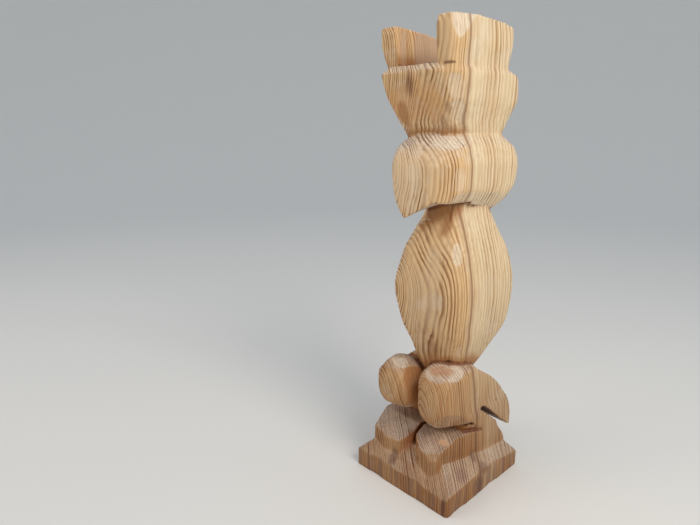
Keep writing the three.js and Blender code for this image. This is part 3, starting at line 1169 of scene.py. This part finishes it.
        # the last two attributes measure how enclosed the surface is and carry only painted shade
        end_grain, sliced, hollow_shade, crease = (
            put(Kind.SPOT, attribute_name=name, output="Fac")
            for name in ("end_grain", "sliced", "hollow_shade", "crease")
        )
        upward = put(Kind.RAMP, (end_grain, 0.35, 0.85, 0.0, 1.0))
        high = put(Kind.RAMP, (height, 110.0, 230.0, 0.0, 1.0))
        end_tone = put(Kind.MIX, {0: high, 6: linear(self.end_grain), 7: linear(self.end_high)}, output=2)
        outer = put(Kind.RAMP, (beyond, 5.0, 16.0, 0.0, 1.0))
        late_tone = put(Kind.MIX, {0: outer, 6: linear(self.late), 7: linear(self.outer_late)}, output=2)
        late_tone = put(Kind.MIX, {0: upward, 6: late_tone, 7: linear(self.end_late)}, output=2)
        off_dark_year = put(Kind.MATHS, (beyond,), operation="ABSOLUTE")
        coats = [
            Coat(linear(self.outer), [(beyond, -4.0, 10.0, 0.0, 0.8)]),
            Coat(linear(self.outer), [(cloud, 0.4, 0.7, 0.0, 0.35)]),
            Coat(end_tone, [upward, 0.8]),
            Coat(linear(self.sliced), [sliced, 0.75]),
            Coat(late_tone, [late, (patch, 0.35, 0.62, 0.45, 1.0), (beyond, 12.0, 34.0, 1.0, 1.5),
                             (sliced, 0.0, 1.0, 1.0, 0.5)]),
            Coat(linear(self.dark_year), [(off_dark_year, 0.4, 2.2, 0.7, 0.0)]),
            Coat(linear(self.late), [(fibres, 0.45, 0.8, 0.0, 0.3)]),
            Coat(linear(self.outer_late), [(fine, 0.42, 0.75, 0.0, 0.25)]),
            Coat(linear(self.end_late), [upward, (speck, 0.5, 0.72, 0.0, 0.5)]),
            # painted shade: darker towards the bottom, in cloudy patches, less on faces that look up or down
            Coat(linear(self.low_shade), [(height, 205.0, -10.0, 0.0, 1.0), (cloud, 0.2, 0.7, 0.7, 1.0),
                                     (upward, 0.0, 1.0, 1.0, 0.45)], "MULTIPLY"),
            # painted shade in the broad hollows, barely on faces that look up or down
            Coat(linear(self.hollow_shade), [(hollow_shade, 0.12, 0.75, 0.0, 0.75), (upward, 0.0, 1.0, 1.0, 0.1)]),
            # painted shade in the creases, strongest where the carving closes round the surface
            Coat(linear(self.crease), [(crease, 0.2, 0.85, 0.0, 0.8)]),
            Coat(linear(self.end_late), [(stripes, 0.47, 0.60, 0.0, 1.0), (height, 24.0, 14.0, 0.0, 0.55),
                                         (upward, 0.0, 1.0, 1.0, 0.0)]),
        ]
        ragged = put(Kind.RAMP, (patch, 0.2, 0.8, -0.45, 0.45))
        for patch_of_colour in self.stains_and_painted_light:
            offset = put(Kind.VECTOR, (moved, patch_of_colour.middle), operation="SUBTRACT")
            offset = put(Kind.VECTOR, (offset, patch_of_colour.half), operation="DIVIDE")
            away = put(Kind.VECTOR, (offset,), output=1, operation="LENGTH")
            away = put(Kind.MATHS, (away, ragged), operation="ADD")
            coats.append(Coat(linear(patch_of_colour.colour), [(away, 0.5, 1.1, patch_of_colour.strength, 0.0)]))
        colour = linear(self.early)
        for coat in coats:
            factors = [put(Kind.RAMP, one) if isinstance(one, tuple) else one for one in coat.factors]
            share = factors[0]
            for factor in factors[1:]:
                share = put(Kind.MATHS, (share, factor), operation="MULTIPLY")
            colour = put(Kind.MIX, {0: share, 6: colour, 7: coat.colour}, output=2, blend_type=coat.blend)

        relief = put(Kind.MATHS, (late, 0.4), operation="MULTIPLY")
        relief = put(Kind.MATHS, (fibres, 0.6, relief), operation="MULTIPLY_ADD")
        bump = put(Kind.BUMP, {"Height": relief, "Strength": 0.6, "Distance": 0.3 * MM})
        surface = put(Kind.PRINCIPLED, {
            "Base Color": colour, "Roughness": self.roughness, "IOR": 1.48, "Specular IOR Level": 0.3,
            "Normal": bump,
        })
        put(Kind.OUTPUT, {"Surface": surface})
        return made


@dataclass(frozen=True)
class StudioPaper:
    """Matt pale paper that the piece stands on."""

    colour: str = "e9e7e2"
    roughness: float = 0.9

    def material(self) -> bpy.types.Material:
        """Builds the paper.

        Returns:
            The material.
        """
        made, tree = new_material("matt studio paper")
        surface = add(tree, Kind.PRINCIPLED, {
            "Base Color": linear(self.colour), "Roughness": self.roughness, "Specular IOR Level": 0.2,
        })
        add(tree, Kind.OUTPUT, {"Surface": surface})
        return made


# ---- The piece and its stage -----------------------------------------------------------


@dataclass
class Totem:
    """The carving as a finished piece.

    In millimetres, the border is what the grid adds round the block, the reaches are how far
    off the surface the carving is measured to find the creases and hollows that get painted
    shade, and near covers both.
    """

    name: str = "carving"
    node: str = "totem_carving"
    border: float = 1.5 * PLAN.cell
    rounds: int = 2
    crease_reach: float = 3.0
    hollow_reach: float = 12.0
    near: float = 16.0

    def skin(self, carving: Carving) -> Skin:
        """Meshes the carving.

        Args:
            carving: The field to mesh.

        Returns:
            The mesh, in millimetres.
        """
        x, y = PLAN.base_width / 2, PLAN.base_depth / 2
        low, high = np.array([-x, -y, 0.0]), np.array([x, y, PLAN.crown_top])
        start, end = low - self.border, high + self.border
        counts = [math.ceil(span / PLAN.cell) + 1 for span in end - start]
        skin = surface_nets(sample(carving, start, counts, PLAN.cell), start, PLAN.cell)
        for _ in range(self.rounds):
            skin.relax()
            skin.settle(carving, 1)
        skin.settle(carving, 1)
        skin.points = np.clip(skin.points, low, high)
        return skin

    def build(self) -> bpy.types.Object:
        """Makes the mesh object with the attributes that its wood reads.

        Returns:
            The object, at the origin.
        """
        carving = Carving(np.random.default_rng(SEED))
        skin = self.skin(carving)
        carving.reach(self.near)
        normals = gradient(carving, skin.points)
        mesh = bpy.data.meshes.new(self.name)
        mesh.from_pydata((skin.points * MM).tolist(), [], skin.quads.tolist())
        mesh.validate()
        mesh.update()
        mesh.shade_smooth()
        spots = {
            # the first two measure how enclosed each corner is, near and broad, for painted shade
            "crease": 1 - carving(skin.points + self.crease_reach * normals) / self.crease_reach,
            "hollow_shade": 1 - carving(skin.points + self.hollow_reach * normals) / self.hollow_reach,
            "end_grain": np.abs(normals[:, 2]),
            "sliced": np.max([form.freshness(skin.points) for form in carving.forms], axis=0),
        }
        for name, values in spots.items():
            layer = mesh.attributes.new(name, "FLOAT", "POINT")
            layer.data.foreach_set("value", np.clip(values, 0, 1).astype(np.float32))
        mesh.materials.append(Pine().material())
        piece = bpy.data.objects.new(self.name, mesh)
        bpy.context.scene.collection.objects.link(piece)
        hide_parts(self.node)
        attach(piece, "root")
        return piece


class Studio:
    """Camera, floor and soft light, with places in metres and angles in degrees."""

    eye: tuple[float, float, float] = (0.24008, -0.33091, 0.27994)
    dip: float = 13.985
    heading: float = 46.624
    lens: float = 27.0
    aim: Vector = Vector((0, 0, 0.25))
    room: str = "bcc3cc"
    room_strength: float = 0.95

    def camera(self) -> None:
        """Stands the camera to the front and right, a little above the middle, looking down."""
        data = bpy.data.cameras.new("camera")
        data.lens = self.lens
        data.sensor_width = 36.0
        data.clip_start = 0.01
        eye = bpy.data.objects.new("camera", data)
        eye.location = self.eye
        eye.rotation_euler = Euler((math.radians(90 - self.dip), 0.0, math.radians(self.heading)))
        bpy.context.scene.collection.objects.link(eye)
        bpy.context.scene.camera = eye

    def floor(self) -> None:
        """Lays a round floor whose edge sweeps up far behind the piece, so no horizon shows."""
        reach, rise, steps, sides = 1.6, 1.3, 12, 64
        turns = [math.radians(90 * step / steps) for step in range(steps + 1)]
        profile = [(0.25, 0.0)] + [(reach + rise * math.sin(a), rise * (1 - math.cos(a))) for a in turns]
        around = [math.tau * side / sides for side in range(sides)]
        points = [(r * math.cos(a), r * math.sin(a), z) for r, z in profile for a in around] + [(0, 0, 0)]
        faces = [(len(points) - 1, side, (side + 1) % sides) for side in range(sides)]
        for row in range(len(profile) - 1):
            start = row * sides
            for side in range(sides):
                after = (side + 1) % sides
                faces.append((start + side, start + sides + side, start + sides + after, start + after))
        mesh = bpy.data.meshes.new("floor")
        mesh.from_pydata(points, [], faces)
        mesh.shade_smooth()
        mesh.materials.append(StudioPaper().material())
        floor = bpy.data.objects.new("floor", mesh)
        bpy.context.scene.collection.objects.link(floor)

    def lamp(self, name: str, place: Vector, size: float, power: float, colour: str) -> None:
        """Hangs a round soft lamp that faces the piece.

        Args:
            name: The lamp's name.
            place: Where it hangs.
            size: Its diameter in metres.
            power: Its power in watts.
            colour: The light's colour.
        """
        data = bpy.data.lights.new(name, "AREA")
        data.shape = "DISK"
        data.size = size
        data.energy = power
        data.color = linear(colour)[:3]
        lamp = bpy.data.objects.new(name, data)
        lamp.location = place
        lamp.rotation_euler = (place - self.aim).to_track_quat("Z", "Y").to_euler()
        bpy.context.scene.collection.objects.link(lamp)

    def light(self) -> None:
        """Lights the piece softly from above and to the right, in a pale room."""
        self.lamp("window", Vector((0.66, -0.16, 0.78)), 0.5, 4.6, "fff6ea")
        self.lamp("front fill", Vector((-0.55, -0.9, 0.75)), 0.8, 2.6, "fff4e8")
        world = bpy.data.worlds.new("studio")
        world.use_nodes = True
        background = world.node_tree.nodes["Background"]
        background.inputs["Color"].default_value = linear(self.room)
        background.inputs["Strength"].default_value = self.room_strength
        bpy.context.scene.world = world
        bpy.context.scene.view_settings.view_transform = "Standard"


def main() -> None:
    """Builds the studio and the piece in order."""
    logging.basicConfig(level=logging.INFO, format="%(message)s")
    studio = Studio()
    studio.camera()
    studio.floor()
    studio.light()
    piece = Totem().build()
    log.info("%s: %d corners, %d faces", piece.name, len(piece.data.vertices), len(piece.data.polygons))


if __name__ == "__main__":
    main()
